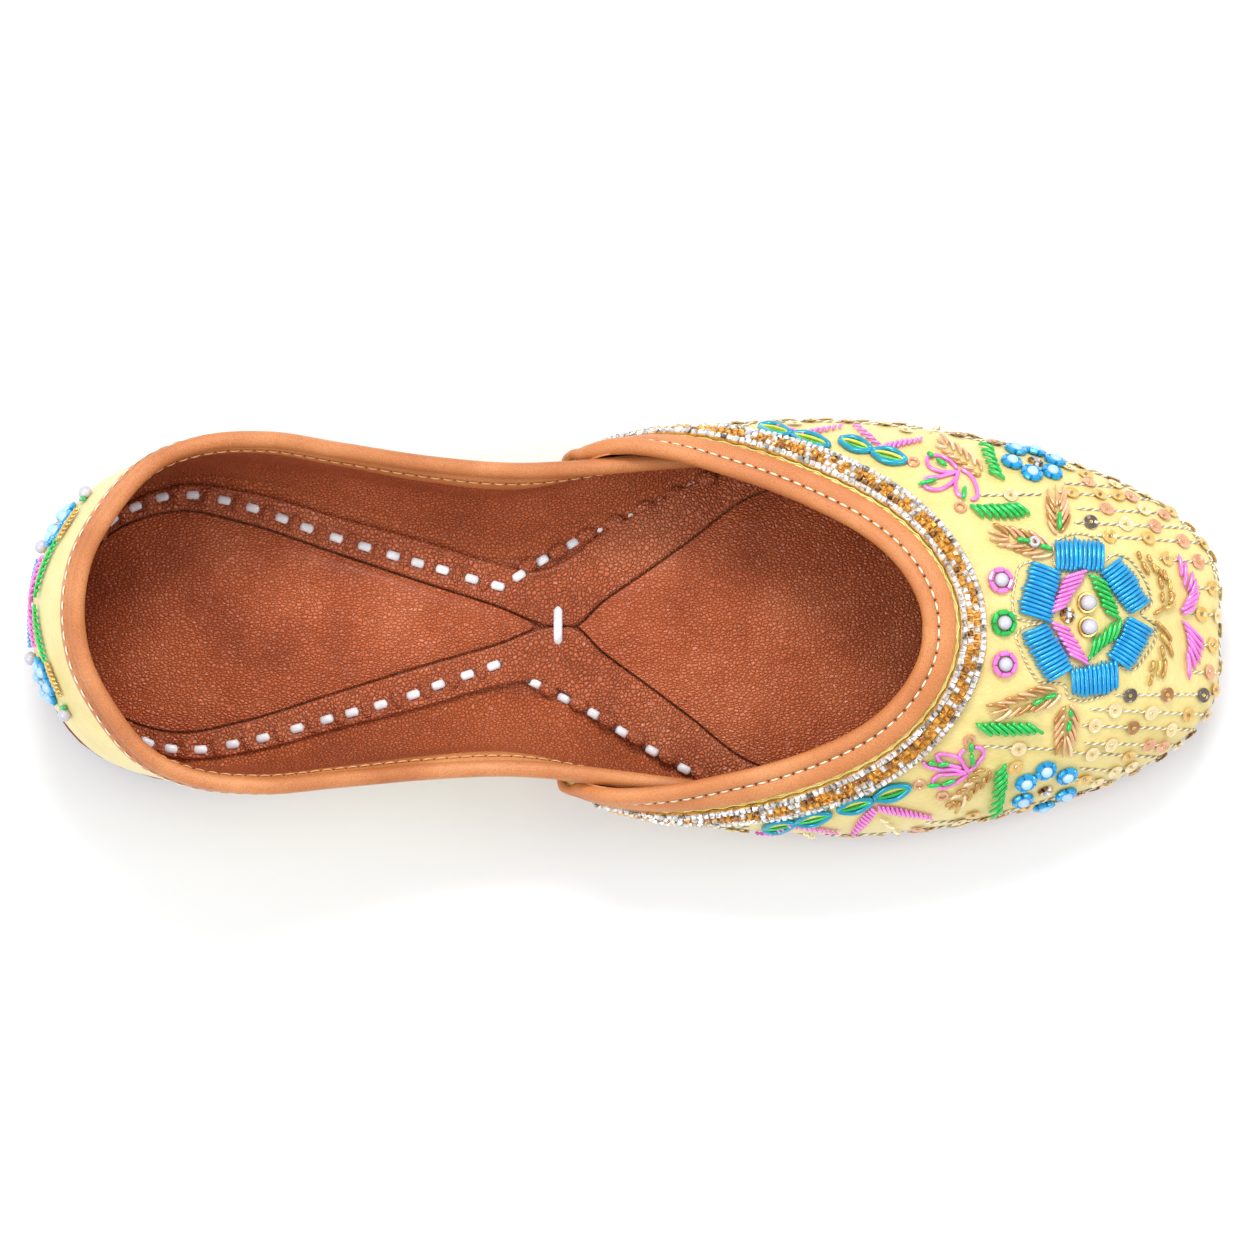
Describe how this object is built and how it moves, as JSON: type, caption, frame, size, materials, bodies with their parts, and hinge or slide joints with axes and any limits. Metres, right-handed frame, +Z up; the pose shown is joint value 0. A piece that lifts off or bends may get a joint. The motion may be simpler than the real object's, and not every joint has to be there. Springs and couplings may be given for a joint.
{
  "type": "embroidered slip-on shoe",
  "caption": "Flat slip-on shoe on a straight last: hollow upper with lapped vamp and bound throat, hourglass leather sole with low heel, cushioned footbed with laced strip.",
  "frame": {"origin": "on the floor under the middle of the shoe", "axes": "+X from heel to toe, +Y to the left side, +Z up"},
  "size_m": [0.2501, 0.0872, 0.0553],
  "materials": {
    "sole_leather": "smooth undyed sole leather",
    "heel_leather": "stacked leather",
    "silk": "pale yellow silk with a fine weave",
    "tan_leather": "smooth tan leather",
    "stones": "clear and amber stones in a gold band",
    "brown_leather": "glossy pebbled red-brown leather"
  },
  "bodies": {
    "root": {"outsole": "sole_leather", "heel_lift": "heel_leather", "upper": "silk", "collar_binding": "tan_leather", "vamp_binding": "tan_leather", "throat_trim": "stones", "insole": "brown_leather", "heel_pad": "brown_leather", "forefoot_pad": "brown_leather", "footbed_strip": "brown_leather"}
  },
  "joints": []
}
